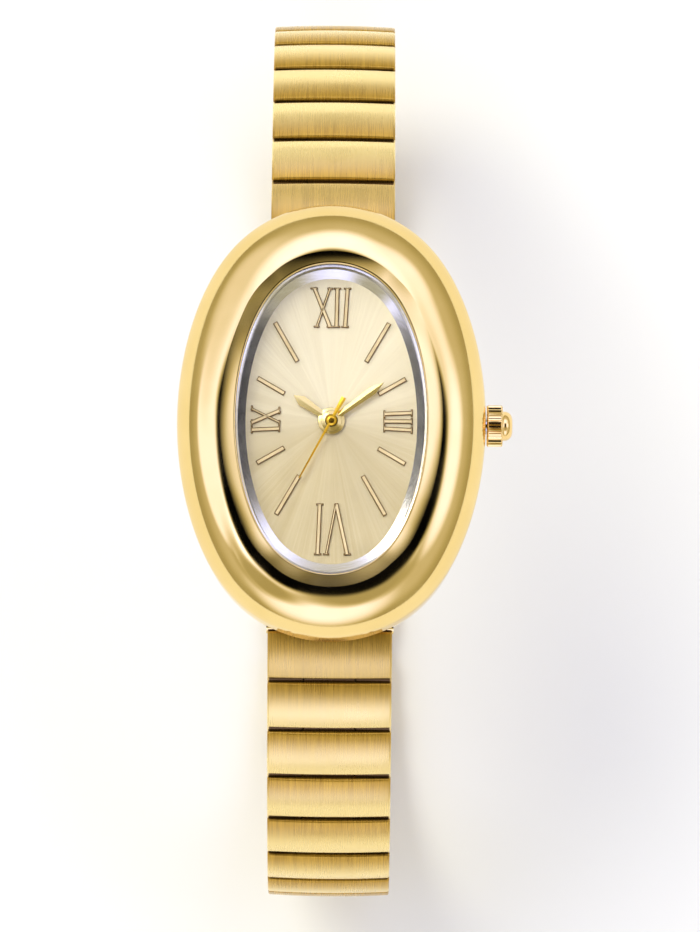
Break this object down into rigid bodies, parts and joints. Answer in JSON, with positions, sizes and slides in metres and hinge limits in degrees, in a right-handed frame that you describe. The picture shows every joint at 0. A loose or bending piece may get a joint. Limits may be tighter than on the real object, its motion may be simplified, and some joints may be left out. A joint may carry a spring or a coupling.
{
  "type": "wristwatch",
  "caption": "Oval dress wristwatch with a thick rounded bezel, baton and roman hour markers, a centre second hand and a bracelet of hinged solid links.",
  "frame": {"origin": "under the dial's centre, on the clasp cover's flat outer face that the watch stands on", "axes": "+Z out of the dial, +Y towards 12 o'clock, +X towards the crown at 3 o'clock"},
  "size_m": [0.0274, 0.0742, 0.0466],
  "materials": {
    "polished_gold": "polished",
    "satin_gold": "satin brushed",
    "crown_gold": "polished",
    "hand_gold": "polished",
    "silver_ring": "polished",
    "dial_champagne": "sunburst brushed",
    "crystal": "clear",
    "steel": "brushed",
    "back_steel": "circular brushed",
    "wheel_brass": "plain",
    "plate_brass": "grained",
    "holder_plastic": "matt",
    "gasket_rubber": "matt",
    "battery_steel": "polished",
    "coil_copper": "enamelled wire",
    "board_green": "solder mask",
    "rotor_magnet": "plain"
  },
  "bodies": {
    "head": {"case_body": "polished_gold", "bezel": "polished_gold", "crystal": "crystal", "dial_ring": "silver_ring", "dial": "dial_champagne", "hour_markers": "hand_gold", "caseback": "back_steel", "caseback_gasket": "gasket_rubber", "spring_bars": "steel", "movement_holder": "holder_plastic", "main_plate": "plate_brass", "train_bridge": "plate_brass", "movement_screws": "steel", "battery": "battery_steel", "stator": "steel", "coil": "coil_copper", "circuit_board": "board_green", "crown_tube": "steel"},
    "second_hand_body": {"second_hand": "hand_gold", "second_wheel": "wheel_brass"},
    "third_wheel_body": {"third_wheel": "wheel_brass"},
    "minute_hand_body": {"minute_hand": "hand_gold", "centre_wheel": "wheel_brass"},
    "intermediate_wheel_body": {"intermediate_wheel": "wheel_brass"},
    "rotor_body": {"rotor": "rotor_magnet"},
    "minute_wheel_body": {"minute_wheel": "wheel_brass"},
    "hour_hand_body": {"hour_hand": "hand_gold", "hour_wheel": "wheel_brass"},
    "setting_lever_body": {"setting_lever": "steel"},
    "crown_body": {"crown": "crown_gold", "crown_stem": "steel"},
    "upper_link_01_body": {"upper_link_01": "satin_gold"},
    "upper_link_02_body": {"upper_link_02": "satin_gold"},
    "upper_link_03_body": {"upper_link_03": "satin_gold"},
    "upper_link_04_body": {"upper_link_04": "satin_gold"},
    "upper_link_05_body": {"upper_link_05": "satin_gold"},
    "upper_link_06_body": {"upper_link_06": "satin_gold"},
    "upper_link_07_body": {"upper_link_07": "satin_gold"},
    "upper_link_08_body": {"upper_link_08": "satin_gold"},
    "upper_link_09_body": {"upper_link_09": "satin_gold"},
    "upper_link_10_body": {"upper_link_10": "satin_gold"},
    "upper_link_11_body": {"upper_link_11": "satin_gold"},
    "upper_link_12_body": {"upper_link_12": "satin_gold"},
    "upper_link_13_body": {"upper_link_13": "satin_gold"},
    "clasp_base_body": {"clasp_base": "satin_gold"},
    "lower_link_01_body": {"lower_link_01": "satin_gold"},
    "lower_link_02_body": {"lower_link_02": "satin_gold"},
    "lower_link_03_body": {"lower_link_03": "satin_gold"},
    "lower_link_04_body": {"lower_link_04": "satin_gold"},
    "lower_link_05_body": {"lower_link_05": "satin_gold"},
    "lower_link_06_body": {"lower_link_06": "satin_gold"},
    "lower_link_07_body": {"lower_link_07": "satin_gold"},
    "lower_link_08_body": {"lower_link_08": "satin_gold"},
    "lower_link_09_body": {"lower_link_09": "satin_gold"},
    "lower_link_10_body": {"lower_link_10": "satin_gold"},
    "lower_link_11_body": {"lower_link_11": "satin_gold"},
    "lower_link_12_body": {"lower_link_12": "satin_gold"},
    "lower_link_13_body": {"lower_link_13": "satin_gold"},
    "ladder_plate_body": {"ladder_plate": "satin_gold"},
    "clasp_cover_body": {"clasp_cover": "satin_gold"}
  },
  "joints": [
    {"name": "second_hand_turn", "type": "hinge", "parent": "head", "child": "second_hand_body", "pos_m": [0, 0, 0.04362], "axis": [0, 0, -1], "continuous": true},
    {"name": "third_wheel_turn", "type": "hinge", "parent": "head", "child": "third_wheel_body", "pos_m": [-0.00176, 0.00251, 0.04362], "axis": [0, 0, -1], "continuous": true},
    {"name": "minute_hand_turn", "type": "hinge", "parent": "head", "child": "minute_hand_body", "pos_m": [0, 0, 0.04362], "axis": [0, 0, -1], "continuous": true},
    {"name": "intermediate_wheel_turn", "type": "hinge", "parent": "head", "child": "intermediate_wheel_body", "pos_m": [-0.00304, -0.00081, 0.04362], "axis": [0, 0, -1], "continuous": true},
    {"name": "rotor_turn", "type": "hinge", "parent": "head", "child": "rotor_body", "pos_m": [-0.00443, -0.00247, 0.04362], "axis": [0, 0, -1], "continuous": true},
    {"name": "minute_wheel_turn", "type": "hinge", "parent": "head", "child": "minute_wheel_body", "pos_m": [0.001, -0.00173, 0.04362], "axis": [0, 0, -1], "continuous": true},
    {"name": "hour_hand_turn", "type": "hinge", "parent": "head", "child": "hour_hand_body", "pos_m": [0, 0, 0.04362], "axis": [0, 0, -1], "continuous": true},
    {"name": "crown_pull", "type": "slide", "parent": "head", "child": "setting_lever_body", "axis": [1, 0, 0], "range_m": [0, 0.001]},
    {"name": "crown_turn", "type": "hinge", "parent": "setting_lever_body", "child": "crown_body", "pos_m": [0.0127, 0, 0.04177], "axis": [1, 0, 0], "continuous": true},
    {"name": "bracelet_fold", "type": "hinge", "parent": "head", "child": "upper_link_01_body", "pos_m": [0, 0.0163, 0.03912], "axis": [1, 0, 0], "range_deg": [0, 25.02]},
    {"name": "upper_hinge_02", "type": "hinge", "parent": "upper_link_01_body", "child": "upper_link_02_body", "pos_m": [0, 0.02029, 0.03726], "axis": [1, 0, 0], "range_deg": [0, 5.04]},
    {"name": "upper_hinge_03", "type": "hinge", "parent": "upper_link_02_body", "child": "upper_link_03_body", "pos_m": [0, 0.0241, 0.03506], "axis": [1, 0, 0], "range_deg": [0, 5.94]},
    {"name": "upper_hinge_04", "type": "hinge", "parent": "upper_link_03_body", "child": "upper_link_04_body", "pos_m": [0, 0.02765, 0.03247], "axis": [1, 0, 0], "range_deg": [0, 7.92]},
    {"name": "upper_hinge_05", "type": "hinge", "parent": "upper_link_04_body", "child": "upper_link_05_body", "pos_m": [0, 0.03082, 0.02942], "axis": [1, 0, 0], "range_deg": [0, 10.08]},
    {"name": "upper_hinge_06", "type": "hinge", "parent": "upper_link_05_body", "child": "upper_link_06_body", "pos_m": [0, 0.03341, 0.02586], "axis": [1, 0, 0], "range_deg": [0, 12.06]},
    {"name": "upper_hinge_07", "type": "hinge", "parent": "upper_link_06_body", "child": "upper_link_07_body", "pos_m": [0, 0.0352, 0.02184], "axis": [1, 0, 0], "range_deg": [0, 13.86]},
    {"name": "upper_hinge_08", "type": "hinge", "parent": "upper_link_07_body", "child": "upper_link_08_body", "pos_m": [0, 0.03597, 0.01751], "axis": [1, 0, 0], "range_deg": [0, 16.02]},
    {"name": "upper_hinge_09", "type": "hinge", "parent": "upper_link_08_body", "child": "upper_link_09_body", "pos_m": [0, 0.03551, 0.01313], "axis": [1, 0, 0], "range_deg": [0, 17.1]},
    {"name": "upper_hinge_10", "type": "hinge", "parent": "upper_link_09_body", "child": "upper_link_10_body", "pos_m": [0, 0.03379, 0.00908], "axis": [1, 0, 0], "range_deg": [0, 16.92]},
    {"name": "upper_hinge_11", "type": "hinge", "parent": "upper_link_10_body", "child": "upper_link_11_body", "pos_m": [0, 0.03096, 0.00571], "axis": [1, 0, 0], "range_deg": [0, 17.1]},
    {"name": "upper_hinge_12", "type": "hinge", "parent": "upper_link_11_body", "child": "upper_link_12_body", "pos_m": [0, 0.02727, 0.00331], "axis": [1, 0, 0], "range_deg": [0, 14.94]},
    {"name": "upper_hinge_13", "type": "hinge", "parent": "upper_link_12_body", "child": "upper_link_13_body", "pos_m": [0, 0.02309, 0.00196], "axis": [1, 0, 0], "range_deg": [0, 12.06]},
    {"name": "clasp_base_hinge", "type": "hinge", "parent": "upper_link_13_body", "child": "clasp_base_body", "pos_m": [0, 0.01871, 0.0015], "axis": [1, 0, 0], "range_deg": [0, 5.94]},
    {"name": "lower_hinge_01", "type": "hinge", "parent": "head", "child": "lower_link_01_body", "pos_m": [0, -0.0163, 0.03912], "axis": [-1, 0, 0], "range_deg": [0, 25.02]},
    {"name": "lower_hinge_02", "type": "hinge", "parent": "lower_link_01_body", "child": "lower_link_02_body", "pos_m": [0, -0.02029, 0.03726], "axis": [-1, 0, 0], "range_deg": [0, 5.04]},
    {"name": "lower_hinge_03", "type": "hinge", "parent": "lower_link_02_body", "child": "lower_link_03_body", "pos_m": [0, -0.0241, 0.03506], "axis": [-1, 0, 0], "range_deg": [0, 5.94]},
    {"name": "lower_hinge_04", "type": "hinge", "parent": "lower_link_03_body", "child": "lower_link_04_body", "pos_m": [0, -0.02765, 0.03247], "axis": [-1, 0, 0], "range_deg": [0, 7.92]},
    {"name": "lower_hinge_05", "type": "hinge", "parent": "lower_link_04_body", "child": "lower_link_05_body", "pos_m": [0, -0.03082, 0.02942], "axis": [-1, 0, 0], "range_deg": [0, 10.08]},
    {"name": "lower_hinge_06", "type": "hinge", "parent": "lower_link_05_body", "child": "lower_link_06_body", "pos_m": [0, -0.03341, 0.02586], "axis": [-1, 0, 0], "range_deg": [0, 12.06]},
    {"name": "lower_hinge_07", "type": "hinge", "parent": "lower_link_06_body", "child": "lower_link_07_body", "pos_m": [0, -0.0352, 0.02184], "axis": [-1, 0, 0], "range_deg": [0, 13.86]},
    {"name": "lower_hinge_08", "type": "hinge", "parent": "lower_link_07_body", "child": "lower_link_08_body", "pos_m": [0, -0.03597, 0.01751], "axis": [-1, 0, 0], "range_deg": [0, 16.02]},
    {"name": "lower_hinge_09", "type": "hinge", "parent": "lower_link_08_body", "child": "lower_link_09_body", "pos_m": [0, -0.03551, 0.01313], "axis": [-1, 0, 0], "range_deg": [0, 17.1]},
    {"name": "lower_hinge_10", "type": "hinge", "parent": "lower_link_09_body", "child": "lower_link_10_body", "pos_m": [0, -0.03379, 0.00908], "axis": [-1, 0, 0], "range_deg": [0, 16.92]},
    {"name": "lower_hinge_11", "type": "hinge", "parent": "lower_link_10_body", "child": "lower_link_11_body", "pos_m": [0, -0.03096, 0.00571], "axis": [-1, 0, 0], "range_deg": [0, 17.1]},
    {"name": "lower_hinge_12", "type": "hinge", "parent": "lower_link_11_body", "child": "lower_link_12_body", "pos_m": [0, -0.02727, 0.00331], "axis": [-1, 0, 0], "range_deg": [0, 14.94]},
    {"name": "lower_hinge_13", "type": "hinge", "parent": "lower_link_12_body", "child": "lower_link_13_body", "pos_m": [0, -0.02309, 0.00196], "axis": [-1, 0, 0], "range_deg": [0, 12.06]},
    {"name": "ladder_plate_hinge", "type": "hinge", "parent": "lower_link_13_body", "child": "ladder_plate_body", "pos_m": [0, -0.01871, 0.0015], "axis": [-1, 0, 0], "range_deg": [0, 5.94]},
    {"name": "clasp_cover_hinge", "type": "hinge", "parent": "clasp_base_body", "child": "clasp_cover_body", "pos_m": [0, 0.01351, 0.00158], "axis": [1, 0, 0], "range_deg": [0, 100]}
  ],
  "couplings": [
    {"joint": "third_wheel_turn", "follows": "second_hand_turn", "ratio": -0.13333},
    {"joint": "minute_hand_turn", "follows": "second_hand_turn", "ratio": 0.016667},
    {"joint": "intermediate_wheel_turn", "follows": "second_hand_turn", "ratio": -6},
    {"joint": "rotor_turn", "follows": "second_hand_turn", "ratio": 30},
    {"joint": "minute_wheel_turn", "follows": "second_hand_turn", "ratio": -0.0055556},
    {"joint": "hour_hand_turn", "follows": "second_hand_turn", "ratio": 0.0013889},
    {"joint": "upper_hinge_02", "follows": "bracelet_fold", "ratio": 0.20144},
    {"joint": "upper_hinge_03", "follows": "bracelet_fold", "ratio": 0.23741},
    {"joint": "upper_hinge_04", "follows": "bracelet_fold", "ratio": 0.31655},
    {"joint": "upper_hinge_05", "follows": "bracelet_fold", "ratio": 0.40288},
    {"joint": "upper_hinge_06", "follows": "bracelet_fold", "ratio": 0.48201},
    {"joint": "upper_hinge_07", "follows": "bracelet_fold", "ratio": 0.55396},
    {"joint": "upper_hinge_08", "follows": "bracelet_fold", "ratio": 0.64029},
    {"joint": "upper_hinge_09", "follows": "bracelet_fold", "ratio": 0.68345},
    {"joint": "upper_hinge_10", "follows": "bracelet_fold", "ratio": 0.67626},
    {"joint": "upper_hinge_11", "follows": "bracelet_fold", "ratio": 0.68345},
    {"joint": "upper_hinge_12", "follows": "bracelet_fold", "ratio": 0.59712},
    {"joint": "upper_hinge_13", "follows": "bracelet_fold", "ratio": 0.48201},
    {"joint": "clasp_base_hinge", "follows": "bracelet_fold", "ratio": 0.23741},
    {"joint": "lower_hinge_01", "follows": "bracelet_fold", "ratio": 1},
    {"joint": "lower_hinge_02", "follows": "bracelet_fold", "ratio": 0.20144},
    {"joint": "lower_hinge_03", "follows": "bracelet_fold", "ratio": 0.23741},
    {"joint": "lower_hinge_04", "follows": "bracelet_fold", "ratio": 0.31655},
    {"joint": "lower_hinge_05", "follows": "bracelet_fold", "ratio": 0.40288},
    {"joint": "lower_hinge_06", "follows": "bracelet_fold", "ratio": 0.48201},
    {"joint": "lower_hinge_07", "follows": "bracelet_fold", "ratio": 0.55396},
    {"joint": "lower_hinge_08", "follows": "bracelet_fold", "ratio": 0.64029},
    {"joint": "lower_hinge_09", "follows": "bracelet_fold", "ratio": 0.68345},
    {"joint": "lower_hinge_10", "follows": "bracelet_fold", "ratio": 0.67626},
    {"joint": "lower_hinge_11", "follows": "bracelet_fold", "ratio": 0.68345},
    {"joint": "lower_hinge_12", "follows": "bracelet_fold", "ratio": 0.59712},
    {"joint": "lower_hinge_13", "follows": "bracelet_fold", "ratio": 0.48201},
    {"joint": "ladder_plate_hinge", "follows": "bracelet_fold", "ratio": 0.23741}
  ]
}
